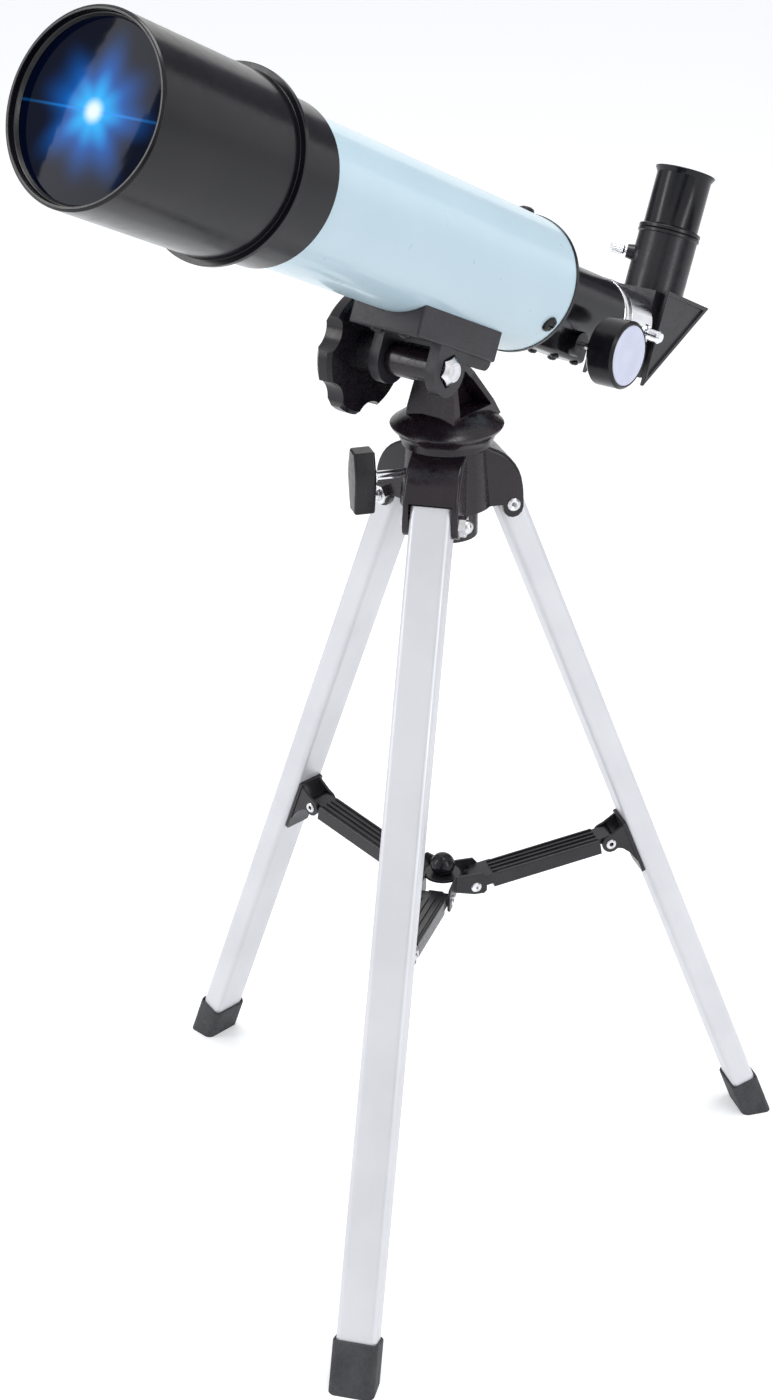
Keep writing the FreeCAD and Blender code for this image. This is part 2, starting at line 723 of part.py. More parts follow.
# ---------------------------------------------------------------- eyepiece
def eyepiece():
    """Chromed barrel in the holder, black body with a flared eye cup, two lenses inside."""
    lay = tube_frame * at(0, -eyepiece_station, 0)
    low = holder_top - barrel_length
    bore = barrel_radius - barrel_wall
    shell = turned([
        (bore, low), (barrel_radius, low), (barrel_radius, holder_top + 0.2),
        (eyepiece_radius - 0.3, holder_top + 0.2), (eyepiece_radius, holder_top + 0.6),
        (eyepiece_radius, eyepiece_top - 3), (eyecup_radius - 0.5, eyepiece_top - 1.2),
        (eyecup_radius, eyepiece_top - 0.4), (eyecup_radius - 0.5, eyepiece_top),
        (eyecup_radius - 2, eyepiece_top), (6.5, eyepiece_top - 4), (6, eyepiece_top - 4.4),
        (6, eyepiece_top - 6), (8, eyepiece_top - 6), (8, eyepiece_top - 10), (bore, eyepiece_top - 10)])
    piece("eyepiece_body", shell, lay)
    eye = turned([(0, eyepiece_top - 9.6), (7.9, eyepiece_top - 9.6), (7.9, eyepiece_top - 6.1),
                  (5.8, eyepiece_top - 6.1), (4, eyepiece_top - 5.5), (2, eyepiece_top - 5.2), (0, eyepiece_top - 5.1)])
    piece("eyepiece_eye_lens", eye, lay)
    seat = holder_top - 5
    field = turned([(0, seat), (bore - 1.1, seat), (bore - 1.1, seat - 1), (bore - fit_gap, seat - 1),
                    (bore - fit_gap, seat + 2.5), (6, seat + 3.4), (0, seat + 3.8)])
    piece("eyepiece_field_lens", field, lay)


# ---------------------------------------------------------------- saddle and tilt clamp
def saddle():
    """Moulded cradle under the tube with two ears that straddle the pan head."""
    front, back = -saddle_front, saddle_back
    top = -root(tube_radius * tube_radius - saddle_half * saddle_half) + 2.8
    brick = rounded(block(span(saddle_half), (front, back), (-saddle_bottom, top)), 1.0,
                    lambda spot, way, edge: spot.z < -saddle_bottom.value + 0.1 or abs(way.z) > 0.9)
    pivot_y = -pivot_station
    ears = []
    for side in (1, -1):
        middle = (ear_reach - ear_thickness / 2) * side
        lobe = cylinder(ear_radius, ear_thickness, at(middle - ear_thickness / 2, pivot_y, -pivot_drop) * across)
        neck = block((middle - ear_thickness / 2, middle + ear_thickness / 2),
                     (pivot_y - ear_radius, pivot_y + ear_radius), (-pivot_drop, -saddle_bottom + 2))
        ears.append(fuse(lobe, neck))
    skirts = []
    for side in (1, -1):
        outer = (saddle_half - 1.5) * side
        low, high = (outer - 2.8, outer) if side == 1 else (outer, outer + 2.8)
        skirt = rounded(block((low, high), (back - 19, back - 0.8), (-saddle_bottom - 4.4, -saddle_bottom + 1)), 4,
                        lambda spot, way, edge: abs(way.x) > 0.9 and spot.z < -saddle_bottom.value - 4
                        and spot.y > back.value - 8)
        skirts.append(skirt)
    hollow = block(span(channel_half), (pivot_y - ear_radius - 2, back + 1),
                   (-saddle_bottom - 10, -tube_radius - 2.4))
    cradle = cylinder(tube_radius + fit_gap, 90, at(0, 50, 0) * at(axis=X_AXIS, angle=90))
    pocket = hexagon(bolt_head_across + 1.6, 5, at(ear_reach - 1.6, pivot_y, -pivot_drop) * across)
    bore = cylinder(bolt_radius + fit_gap, 60, at(-30, pivot_y, -pivot_drop) * across)
    under = [cylinder(1.7, 30, at(spot_x, spot_y, -saddle_bottom - 5))
             for spot_x, spot_y in saddle_screw_spots]
    body = fuse(cut(brick, hollow), *skirts, *ears)
    piece("saddle", cut(body, cradle, pocket, bore, *under), tube_frame)


saddle_screw_spots = [(-7, 6 - saddle_front), (7, 6 - saddle_front)]
channel_half = ear_reach - ear_thickness + 1


def saddle_screws():
    """Screws from below that hold the tube in the cradle."""
    places = [at(spot_x, spot_y, -saddle_bottom) * at(axis=X_AXIS, angle=180) for spot_x, spot_y in saddle_screw_spots]
    piece("saddle_screws", screw_heads(places, size(2.9), size(1.6), size(1.6), saddle_floor - 0.3), tube_frame)


def tilt_bolt():
    """Hexagon bolt along the tilt axis: its head sits in a pocket of the near ear."""
    lay = tube_frame * at(0, -pivot_station, -pivot_drop) * across
    length = 2 * ear_reach + tilt_knob_gap + 2.6
    head_low = ear_reach - 1.6 + 0.05
    head = hexagon(bolt_head_across, bolt_head_height, at(0, 0, head_low))
    crown = cone(bolt_head_across / math.sqrt(3) + 1.6, bolt_head_across / 2 - 1.4, bolt_head_height,
                 at(0, 0, head_low))
    shank = cylinder(bolt_radius, length, at(0, 0, head_low - length + 0.5))
    piece("tilt_bolt", fuse(common(head, crown), shank), lay)


def tilt_knob():
    """Six-lobed hand nut on the far end of the tilt bolt."""
    lay = tube_frame * at(0, -pivot_station, -pivot_drop) * at(axis=Y_AXIS, angle=-90)
    low = ear_reach + running_gap
    face = ear_reach + tilt_knob_gap
    blank = turned([(bolt_radius + 0.05, low), (8, low), (9, face), (tilt_knob_radius - 1.6, face),
                    (tilt_knob_radius, face + 1.6), (tilt_knob_radius, face + tilt_knob_width - 2.4),
                    (tilt_knob_radius - 2.4, face + tilt_knob_width), (9, face + tilt_knob_width),
                    (7.5, face + tilt_knob_width + 1.5), (0, face + tilt_knob_width + 1.5),
                    (0, face + 4), (bolt_radius + 0.05, face + 4)])
    put(blank, IN_PLACE)
    notches = [cylinder(9.5, tilt_knob_width + 4, at(axis=Z_AXIS, angle=60 * n + 180 - altitude)
                        * at(tilt_knob_radius + 4.6, 0, face - 2)) for n in range(6)]
    piece("tilt_knob", cut(blank, *notches), lay)


# ---------------------------------------------------------------- pan head
def pan_head():
    """Turntable disk with a pedestal, ending above in the boss between the ears."""
    groove_floor = spindle_radius - 1.6
    disk = turned([
        (0, disk_crown), (size(13), disk_crown), (disk_radius - 5.5, disk_crown - 2.4),
        (disk_radius - 0.8, disk_height + 0.2), (disk_radius, disk_height - 0.6),
        (disk_radius - 0.5, disk_height - 1.8), (body_radius + 1.6, crown_height + 2),
        (body_radius + 1.2, crown_height + running_gap), (spindle_radius, crown_height + running_gap),
        (spindle_radius, lock_height + 2.8), (groove_floor, lock_height + 1.6), (groove_floor, lock_height - 1.6),
        (spindle_radius, lock_height - 2.8), (spindle_radius, spindle_foot),
        (spindle_radius - 0.8, spindle_foot - 0.8), (2.4, spindle_foot - 0.8),
        (2.4, spindle_foot + 14), (0, spindle_foot + 14)])
    put(disk, IN_PLACE)
    lean = slab([
        (-12.6, disk_crown - 3), (-10.2, pivot_height - 12.4), (-15.5, pivot_height - 8), (-21, pivot_height - 6),
        (-20, pivot_height + 6.4), (-13, pivot_height + 5), (-0.6, pivot_height - 3.2), (6.8, pivot_height - 9.6),
        (15.8, disk_height + 9.2), (22.4, disk_height), (10, disk_height - 2), (-12.6, disk_height - 2)],
        pedestal_half)
    taper = slab([(-(pedestal_half + 1), disk_height - 3), (pedestal_half + 1, disk_height - 3),
                  (pedestal_half + 1, disk_height + 3), (9.6, pivot_height - 10),
                  (ear_reach - ear_thickness - running_gap, pivot_height + 20),
                  (-(ear_reach - ear_thickness - running_gap), pivot_height + 20), (-9.6, pivot_height - 10),
                  (-(pedestal_half + 1), disk_height + 3)], 40, "XZ_Plane")
    pocket = slab([(-8.2, disk_crown + 0.2), (-6.8, pivot_height - 13), (-1.2, pivot_height - 6.6),
                   (4.6, pivot_height - 12), (13, disk_height + 8.4), (15, disk_crown + 0.2)], pedestal_half + 1)
    web = block(span(2.2), (-30, 30), (disk_height - 5, pivot_height + 30))
    boss_half = ear_reach - ear_thickness - running_gap
    boss = cylinder(boss_radius, 2 * boss_half, at(-boss_half, -pivot_forward, pivot_height) * across)
    stem = common(lean, taper)
    open_sides = cut(stem, cut(pocket, web))
    bore = cylinder(bolt_radius + running_gap, 60, at(-30, -pivot_forward, pivot_height) * across)
    piece("pan_head", cut(fuse(disk, open_sides, boss), bore))


pedestal_half = size(12.6)
spindle_foot = centre_boss_foot + 8


def pan_screw():
    """Screw and washer that keep the spindle of the pan head in the crown."""
    washer_low = spindle_foot - 0.8 - 2.2
    body = turned([(0, washer_low - 3), (4, washer_low - 3), (4.4, washer_low - 2.4), (4.4, washer_low),
                   (10.4, washer_low), (10.4, washer_low + 1.9), (2.3, washer_low + 1.9),
                   (2.3, washer_low + 15), (0, washer_low + 15)])
    piece("pan_retaining_screw", body)


def pan_lock():
    """Chromed stem that clamps the spindle, with a two-winged grip."""
    lay = at(0, 0, lock_height) * at(axis=Z_AXIS, angle=lock_azimuth) * across
    stem_start = spindle_radius - 1.2
    grip_start = size(34.6)
    stem = turned([(0, stem_start), (1.2, stem_start), (lock_stem, stem_start + 1.4), (lock_stem, grip_start - 3),
                   (lock_stem + 1, grip_start - 2.8), (lock_stem + 1, grip_start + 3), (0, grip_start + 3)])
    piece("pan_lock_stem", stem, lay)
    half, waist, thick, droop = 14, 5.2, 9.5, 1.6
    wing = [(droop - half, -3.6), (droop - half, 4.2), (-5, waist + 1), (0, waist + 1.6), (5, waist + 1),
            (droop + half, 4.2), (droop + half, -3.6), (5, -waist - 1), (0, -waist - 1.6), (-5, -waist - 1)]
    grip = slab(wing, thick / 2, "XY_Plane")
    put(grip, at(0, 0, grip_start + thick / 2 - 1.5))
    soft = rounded(grip, 1.2, lambda spot, way, edge: abs(way.z) < 0.1)
    socket = cylinder(lock_stem + 1 + 0.02, 12, at(0, 0, grip_start - 9 + 0.05))
    piece("pan_lock_grip", cut(soft, socket), lay)


# ---------------------------------------------------------------- crown of the tripod
cheek_inner = leg_width / 2 + running_gap
cheek_outer = cheek_inner + cheek_thickness
arm_end = hinge_radius + 4.5
wall_foot = hinge_height + 9.7


def crown():
    """Moulded crown: a bell with three arched arms, each a pair of cheeks round a leg."""
    bell = turned([(0, crown_height), (body_radius, crown_height), (body_radius, crown_height - 2.6),
                   (body_radius - 1.4, crown_height - 4), (body_radius + 0.6, hinge_height + 0.2),
                   (centre_boss, hinge_height + 0.2), (centre_boss, centre_boss_foot), (0, centre_boss_foot)])
    arms, hollows = [], []
    for index in range(3):
        side = [(size(4), crown_height - 3.4), (size(14), crown_height - 2.2)]
        side += arc((hinge_radius - 17, hinge_height + 6.2), 21.5, 62, 6, 6)
        side += [(arm_end, hinge_height + 1)]
        side += arc((arm_end - 4.6, hinge_height - 1.4), 4.6, 0, -180, 6)
        side += [(arm_end - 9.4, hinge_height + 0.2), (size(4), hinge_height + 0.2)]
        arm = put(slab(side, cheek_outer, "XZ_Plane"), IN_PLACE)
        soft = rounded(arm, 1.6, lambda spot, way, edge: abs(way.y) < 0.1 and spot.x > 13
                       and spot.z > hinge_height.value + 6)
        arms.append(put(soft, sector(index)))
        hollow = slab([(hinge_radius - 10.4, hinge_height - 20), (hinge_radius - 10.4, hinge_height + 10.6),
                       (arm_end - 2.4, hinge_height + 10.6), (arm_end - 2.4, wall_foot), (arm_end + 9, wall_foot),
                       (arm_end + 9, hinge_height - 20)], cheek_inner, "XZ_Plane")
        hollows.append(put(hollow, sector(index)))
        hollows.append(cylinder(hinge_pin + fit_gap, 40, sector(index) * at(hinge_radius, 20, hinge_height)
                                * at(axis=X_AXIS, angle=90)))
    core = [cylinder(spindle_radius + running_gap / 2, 80, at(0, 0, spindle_foot - 0.8)),
            cylinder(10.6, 20, at(0, 0, spindle_foot - 0.8 - 18.2)),
            cylinder(lock_stem + running_gap / 2, 60, at(0, 0, lock_height)
                     * at(axis=Z_AXIS, angle=lock_azimuth) * across)]
    skirt = cylinder(centre_boss, 18, at(0, 0, centre_boss_foot))
    body = cut(fuse(bell, *arms), *hollows)
    piece("tripod_crown", cut(fuse(body, skirt), *core))


def hinge_bolts():
    """A through rivet at each leg hinge, with a cap nut on one side."""
    for index, letter in enumerate("abc"):
        lay = sector(index) * at(hinge_radius, 0, hinge_height) * at(axis=X_AXIS, angle=90)
        face = cheek_outer + 0.05
        shank = cylinder(hinge_pin, 2 * face, at(0, 0, -face))
        eyelet = turned([(1, face), (rivet_head + 0.4, face), (rivet_head + 0.4, face + 0.4), (rivet_head - 0.4, face + 0.9),
                         (1.3, face + 0.7), (1.3, face - 2), (1, face - 2)])
        nut = hexagon(size(8), 3, at(0, 0, -face - 3))
        dome = ball(3.1, at(0, 0, -face - 2.6))
        hollow = cylinder(1.2, 6, at(0, 0, face - 3))
        piece(f"hinge_bolt_{letter}", fuse(cut(shank, hollow), put(eyelet, IN_PLACE), nut, dome), lay)


# ---------------------------------------------------------------- legs
leg_length = root((foot_circle - hinge_radius) * (foot_circle - hinge_radius) + hinge_height * hinge_height)


def leg(index, letter):
    """Closed aluminium tube with rounded corners, bored for its hinge."""
    tube_low = -(leg_length - 9)
    def bar(half_x, half_y, low, high, corner):
        return rounded(block(span(half_x), span(half_y), (low, high)), corner,
                       lambda spot, way, edge: abs(way.z) > 0.9)
    outer = bar(leg_depth / 2, leg_width / 2, tube_low, leg_overrun, leg_corner)
    inner = bar(leg_depth / 2 - leg_wall, leg_width / 2 - leg_wall, tube_low - 1, leg_overrun + 1,
                leg_corner - leg_wall)
    bore = cylinder(hinge_pin + running_gap / 2, 40, at(0, 20, 0) * at(axis=X_AXIS, angle=90))
    piece(f"leg_tube_{letter}", cut(outer, inner, bore), leg_frame(index))


def foot(index, letter):
    """Rubber shoe pushed over the end of a leg, cut level with the floor."""
    low, high = -(leg_length + 8), -(leg_length - foot_height)
    shoe = rounded(block(span(foot_depth / 2), span(foot_width / 2), (low, high)), 3.4,
                   lambda spot, way, edge: abs(way.z) > 0.9)
    soft = rounded(shoe, 0.9, lambda spot, way, edge: spot.z > high.value - 0.1)
    socket = block(span(leg_depth / 2 + fit_gap), span(leg_width / 2 + fit_gap), (-(leg_length - 9) - 0.1, high + 1))
    shaped = cut(soft, socket)
    put(shaped, leg_frame(index))
    floor = block(span(60), span(60), (-60, 0), sector(index) * at(foot_circle, 0, 0))
    piece(f"leg_foot_{letter}", cut(shaped, floor))


bracket_x = ((bracket_radius - hinge_radius) * cosine(leg_slope)
             - (hinge_height - bracket_height) * sine(leg_slope))
bracket_z = -((bracket_radius - hinge_radius) * sine(leg_slope)
              + (hinge_height - bracket_height) * cosine(leg_slope))


def bracket(index, letter):
    """Spreader bracket on the inner face of a leg: a plate and two tapering ears."""
    face = -leg_depth / 2 - 0.05
    lug = 4.4
    plate = rounded(block((face - 1.6, face), span(7.2), (bracket_z - bracket_length + 8, bracket_z + 8)), 1,
                    lambda spot, way, edge: abs(way.x) > 0.9)
    side = [(face, bracket_z + 6.5), (bracket_x + 2, bracket_z + lug)]
    side += arc((bracket_x, bracket_z), lug, 80, 300, 8)
    side += [(bracket_x + lug, bracket_z - 5.4), (bracket_x + 6.6, bracket_z - 9), (face, bracket_z - bracket_length + 9.5)]
    solid = slab(side, ear_outer, "XZ_Plane")
    between = block((bracket_x - 10, face - 1.6), span(ear_inner), (bracket_z - 40, bracket_z + 20))
    bore = cylinder(rivet_radius + fit_gap, 30, at(bracket_x, 15, bracket_z) * at(axis=X_AXIS, angle=90))
    piece(f"leg_bracket_{letter}", cut(fuse(plate, cut(solid, between)), bore), leg_frame(index))


ear_inner = tongue_half + running_gap
ear_outer = arm_width / 2 + 0.2


# ---------------------------------------------------------------- spreader
arm_run = root((bracket_radius - hub_radius) * (bracket_radius - hub_radius)
               + (bracket_height - hub_height) * (bracket_height - hub_height))
arm_slope = slope(bracket_height - hub_height, bracket_radius - hub_radius)
tip_half = size(3.3)


def spreader_arm(index, letter):
    """Moulded channel, open below and ribbed above, with a tongue at each end."""
    lay = sector(index) * at(bracket_radius, 0, bracket_height) * at(axis=Y_AXIS, angle=180 - arm_slope)
    lay = lay * at(axis=X_AXIS, angle=180)
    half = arm_width / 2
    low = arm_top - arm_drop
    start, end = 5.2, arm_run - 9
    body = rounded(block((start, end), span(half), (low, arm_top)), 1.2,
                   lambda spot, way, edge: spot.z > arm_top.value - 0.1)
    hollow = block((start - 8, end - 2), span(half - arm_wall), (low - 1, arm_top - 1.5))
    heel = fuse(cylinder(arm_top, 2 * tongue_half, at(0, tongue_half, 0) * at(axis=X_AXIS, angle=90)),
                block((0, start + 2), span(tongue_half), (arm_top - 3, arm_top)))
    neck = block((end - 3, arm_run - 1), span(hub_gap_half - running_gap), (arm_top - 5.4, arm_top))
    tip = fuse(cylinder(arm_top, 2 * tip_half, at(arm_run, tip_half, 0) * at(axis=X_AXIS, angle=90)),
               block((arm_run - 8, arm_run), span(tip_half), (-arm_top, arm_top)))
    ribs = [block((start + 0.6, end - 0.6), (spot - 0.45, spot + 0.45), (arm_top - 0.5, arm_top + 0.7))
            for spot in (-4.5, -1.5, 1.5, 4.5)]
    bore = cylinder(rivet_radius + fit_gap, 30, at(0, 15, 0) * at(axis=X_AXIS, angle=90))
    piece(f"spreader_arm_{letter}", cut(fuse(cut(body, hollow), heel, neck, tip, *ribs), bore), lay)


arm_top = size(3.6)


def arm_rivet(index, letter):
    """Eyelet rivet through a spreader arm and its bracket."""
    lay = sector(index) * at(bracket_radius, 0, bracket_height) * at(axis=X_AXIS, angle=90)
    face = ear_outer + 0.05
    flange = [(1, face), (rivet_head, face), (rivet_head, face + 0.35), (rivet_head - 0.5, face + 0.8),
              (1.2, face + 0.6), (1, face + 0.4)]
    tube = turned([(1, -face), (rivet_radius, -face), (rivet_radius, face), (1, face)])
    near = put(turned(flange), IN_PLACE)
    far = put(turned(flange), at(axis=X_AXIS, angle=180))
    piece(f"bracket_rivet_{letter}", fuse(tube, near, far), lay)


def hub():
    """Spreader hub: three pairs of cheeks joined by a plate, lifted by a ball."""
    cheeks, bores = [], []
    plate_low = hub_height + 4.8
    inner = hub_gap_half / math.sqrt(3)
    for index in range(3):
        for side in (1, -1):
            middle = (hub_gap_half + hub_cheek / 2) * side
            cheek = slab([(inner, hub_bottom + 2.4), (hub_reach - 6, hub_bottom), (hub_reach - 1.2, hub_bottom),
                          (hub_reach, hub_bottom + 1.2), (hub_reach, hub_top - 3), (hub_reach - 2.4, hub_top),
                          (inner, hub_top)], hub_cheek / 2, "XZ_Plane")
            cheeks.append(put(cheek, sector(index) * at(0, middle, 0)))
            bores.append(cylinder(rivet_radius + fit_gap, hub_cheek * 4,
                                  sector(index) * at(hub_radius, middle + hub_cheek * 2, hub_height)
                                  * at(axis=X_AXIS, angle=90)))
    plate = turned([(0, plate_low), (hub_core, plate_low), (hub_core, hub_top - 0.8), (0, hub_top - 0.8)])
    piece("spreader_hub", cut(fuse(put(plate, IN_PLACE), *cheeks), *bores))
    ball_centre = hub_top - 0.75 + ball_radius * 0.72
    knob = cut(ball(ball_radius, at(0, 0, ball_centre)), block(span(10), span(10), (hub_top - 12, hub_top - 0.75)))
    piece("hub_ball", knob)


def hub_rivets():
    """Short eyelets in the cheeks of the hub, three pairs."""
    studs = []
    for index in range(3):
        for side in (1, -1):
            inner = hub_gap_half + 0.1
            face = hub_gap_half + hub_cheek + 0.05
            stud = turned([(0, inner), (rivet_radius, inner), (rivet_radius, face), (rivet_head, face),
                           (rivet_head, face + 0.3), (rivet_head - 0.5, face + 0.75), (1, face + 0.5), (1, face - 0.4),
                           (0, face - 0.4)])
            place = sector(index) * at(hub_radius, 0, hub_height) * at(axis=X_AXIS, angle=-90 * side)
            studs.append(put(stud, place))
    group = doc.addObject("Part::Compound", plain("studs"))
    group.Links = studs
    piece("hub_rivets", group)


# ---------------------------------------------------------------- assembly
dew_shield()
objective()
main_tube()
focuser_body()
focuser_screws()
drawtube()
nose_thumbscrew()
pinion()
diagonal()
diagonal_covers()
prism()
eyepiece_thumbscrew()
eyepiece()
saddle()
saddle_screws()
tilt_bolt()
tilt_knob()
pan_head()
pan_screw()
pan_lock()
crown()
hinge_bolts()
for index, letter in enumerate("abc"):
    leg(index, letter)
    foot(index, letter)
    bracket(index, letter)
    spreader_arm(index, letter)
    arm_rivet(index, letter)
hub()
hub_rivets()
doc.recompute()

failed = [thing.Name for thing in doc.Objects if "Invalid" in thing.State or "Error" in thing.State]
if failed:
    raise SystemExit("objects that failed: " + ", ".join(failed))
for thing in made:
    if thing.Shape.isNull() or not thing.Shape.isValid() or not thing.Shape.Solids:
        raise SystemExit(f"{thing.Label} has no valid solid")

os.makedirs("parts", exist_ok=True)
for thing in made:
    thing.Shape.exportStep(os.path.join("parts", thing.Label + ".step"))
box = made[0].Shape.BoundBox
for thing in made[1:]:
    box.add(thing.Shape.BoundBox)
print(len(made), "sub-parts,", [round(v, 1) for v in (box.XMin, box.YMin, box.ZMin, box.XMax, box.YMax, box.ZMax)])
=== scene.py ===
import json
import math
import bpy
import numpy as np
from mathutils import Matrix, Vector


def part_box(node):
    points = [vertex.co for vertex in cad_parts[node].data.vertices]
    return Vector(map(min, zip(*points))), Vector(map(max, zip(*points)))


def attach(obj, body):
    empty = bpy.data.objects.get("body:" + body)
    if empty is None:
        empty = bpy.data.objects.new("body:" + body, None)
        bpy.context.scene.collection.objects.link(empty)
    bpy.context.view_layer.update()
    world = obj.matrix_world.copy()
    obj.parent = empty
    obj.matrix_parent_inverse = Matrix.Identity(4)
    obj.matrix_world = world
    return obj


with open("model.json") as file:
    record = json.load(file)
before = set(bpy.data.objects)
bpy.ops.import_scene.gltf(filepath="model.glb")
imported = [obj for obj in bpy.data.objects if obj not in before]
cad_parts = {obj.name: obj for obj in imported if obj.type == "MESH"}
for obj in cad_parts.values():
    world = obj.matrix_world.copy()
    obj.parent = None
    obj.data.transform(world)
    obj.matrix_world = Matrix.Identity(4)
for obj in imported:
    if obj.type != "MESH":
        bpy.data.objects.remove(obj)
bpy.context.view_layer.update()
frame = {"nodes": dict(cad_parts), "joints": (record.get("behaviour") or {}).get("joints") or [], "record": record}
nodes = frame["nodes"]
mounts = {mount["name"]: mount for mount in frame["record"]["mounts"]}
MM = 0.001


# ---------------------------------------------------------------- main tube
# A rolled steel tube, 60 mm across and just over 1 mm thick, sprayed in a pale blue-grey gloss enamel.
# It is pushed into the lens cell in front and into the black rear cell behind, and three screws hold it.
# A blackened ring inside the tube stops stray light.
class Field:
    """A value that changes over a surface, so that a finish can be written as sums and products."""

    def __init__(self, finish, socket):
        self.finish = finish
        self.socket = socket

    def math(self, operation, *others, clamp=False):
        inputs = {index + 1: other for index, other in enumerate(others)}
        step = self.finish.node("ShaderNodeMath", {0: self, **inputs}, operation=operation, use_clamp=clamp)
        return Field(self.finish, step.outputs[0])

    def __add__(self, other):
        return self.math("ADD", other)

    def __sub__(self, other):
        return self.math("SUBTRACT", other)

    def __mul__(self, other):
        return self.math("MULTIPLY", other)

    def ramp(self, start, end, low=0.0, high=1.0):
        """Low before start, high after end, and a smooth rise between."""
        step = self.finish.node("ShaderNodeMapRange", {"Value": self, "From Min": start, "From Max": end,
                                                       "To Min": low, "To Max": high},
                                interpolation_type="SMOOTHSTEP")
        return Field(self.finish, step.outputs[0])

    def blend(self, first, second):
        """The first colour where the field is 0 and the second where it is 1."""
        step = self.finish.node("ShaderNodeMix", {0: self, 6: first, 7: second}, data_type="RGBA")
        return Field(self.finish, step.outputs[2])


class Finish:
    """One material on the Principled shader. Constants go on its sockets, fields are linked to them."""

    def __init__(self, name, **constants):
        self.material = bpy.data.materials.new(name)
        self.material.use_nodes = True
        self.tree = self.material.node_tree
        self.tree.nodes.clear()
        self.shader = self.node("ShaderNodeBsdfPrincipled")
        output = self.node("ShaderNodeOutputMaterial")
        self.tree.links.new(self.shader.outputs[0], output.inputs["Surface"])
        for socket, value in constants.items():
            value = (*value, 1.0) if isinstance(value, tuple) else value
            self.shader.inputs[socket.replace("_", " ").title().replace("Ior", "IOR")].default_value = value
        self.position = self.node("ShaderNodeTexCoord").outputs["Object"]

    def node(self, kind, inputs=None, **settings):
        made = self.tree.nodes.new(kind)
        for key, value in settings.items():
            setattr(made, key, value)
        for key, value in (inputs or {}).items():
            value = value.socket if isinstance(value, Field) else value
            if isinstance(value, bpy.types.NodeSocket):
                self.tree.links.new(value, made.inputs[key])
            else:
                made.inputs[key].default_value = (*value, 1.0) if isinstance(value, tuple) and len(
                    made.inputs[key].default_value) == 4 else value
        return made

    def noise(self, size, detail=3.0, stretch=(1.0, 1.0, 1.0), turn=(0.0, 0.0, 0.0)):
        """Clouds whose lumps are about size metres across, longer along an axis with a small stretch."""
        laid = self.node("ShaderNodeMapping", {"Vector": self.position, "Scale": stretch, "Rotation": turn},
                         vector_type="TEXTURE" if turn != (0.0, 0.0, 0.0) else "POINT")
        cloud = self.node("ShaderNodeTexNoise", {"Vector": laid.outputs[0], "Scale": 1 / size, "Detail": detail})
        return Field(self, cloud.outputs[0])

    def along(self, axis, origin=(0.0, 0.0, 0.0)):
        """Distance from a point, measured along an axis."""
        moved = self.node("ShaderNodeVectorMath", {0: self.position, 1: tuple(origin)[:3]}, operation="SUBTRACT")
        dot = self.node("ShaderNodeVectorMath", {0: moved.outputs[0], 1: tuple(axis)[:3]}, operation="DOT_PRODUCT")
        return Field(self, dot.outputs["Value"])

    def set(self, socket, field):
        self.tree.links.new(field.socket, self.shader.inputs[socket])
        return self

    def bump(self, field, depth):
        relief = self.node("ShaderNodeBump", {"Height": field, "Distance": depth, "Strength": 1.0})
        self.tree.links.new(relief.outputs[0], self.shader.inputs["Normal"])
        return self

    def coat(self, *names, soft=True):
        """Puts the finish on CAD nodes and softens their edges a little, as moulding and polishing do."""
        for name in names:
            part = nodes[name]
            part.data.materials.clear()
            part.data.materials.append(self.material)
            if soft:
                soften(part)
        return self


def soften(part, width=0.28 * MM, sharp=35):
    """Welds the seams of a CAD mesh, rounds its sharp edges and shades it smooth."""
    weld = part.modifiers.new("weld", "WELD")
    weld.merge_threshold = 0.002 * MM
    edge = part.modifiers.new("rounded edges", "BEVEL")
    edge.width = width
    edge.segments = 2
    edge.limit_method = "ANGLE"
    edge.angle_limit = math.radians(sharp)
    edge.harden_normals = True
    part.data.polygons.foreach_set("use_smooth", np.ones(len(part.data.polygons), bool))
    if part.data.has_custom_normals:
        with bpy.context.temp_override(object=part, active_object=part):
            bpy.ops.mesh.customdata_custom_splitnormals_clear()


enamel = Finish("pale_blue_enamel", roughness=0.3, coat_weight=0.4, coat_roughness=0.08)
enamel.set("Base Color", enamel.noise(60 * MM).ramp(0.3, 0.7).blend((0.50, 0.655, 0.735), (0.53, 0.68, 0.755)))
enamel.set("Roughness", enamel.noise(9 * MM).ramp(0.2, 0.8, 0.27, 0.33))
enamel.bump(enamel.noise(2.2 * MM, 1.0), 0.003 * MM)
enamel.coat("main_tube", soft=False)

flock = Finish("blackened_inside", base_color=(0.012, 0.012, 0.013), roughness=0.9)
flock.set("Roughness", flock.noise(1 * MM).ramp(0.2, 0.8, 0.8, 0.98))
flock.bump(flock.noise(0.5 * MM), 0.05 * MM)
flock.coat("tube_baffle")

# ---------------------------------------------------------------- dew shield and lens cell
# One injection moulding in glossy black plastic: a straight shield 70 mm across with a thin rib at its
# step and a plain collar over the end of the tube. Faint lengthwise draw lines show in the gloss.
rim = mounts["shield_rim"]
forward = Vector(rim["axis"])
across = Vector((1.0, 0.0, 0.0))
upward = across.cross(forward) * -1 if across.cross(forward).z < 0 else across.cross(forward)
RIM_STATION = 194.35 * MM
axis_origin = Vector(rim["pos_m"]) - forward * RIM_STATION


def on_tube(station, sideways=0.0, height=0.0):
    """A point by its distance forward along the tube, to the side and square to it, in millimetres."""
    return axis_origin + (forward * station + across * sideways + upward * height) * MM


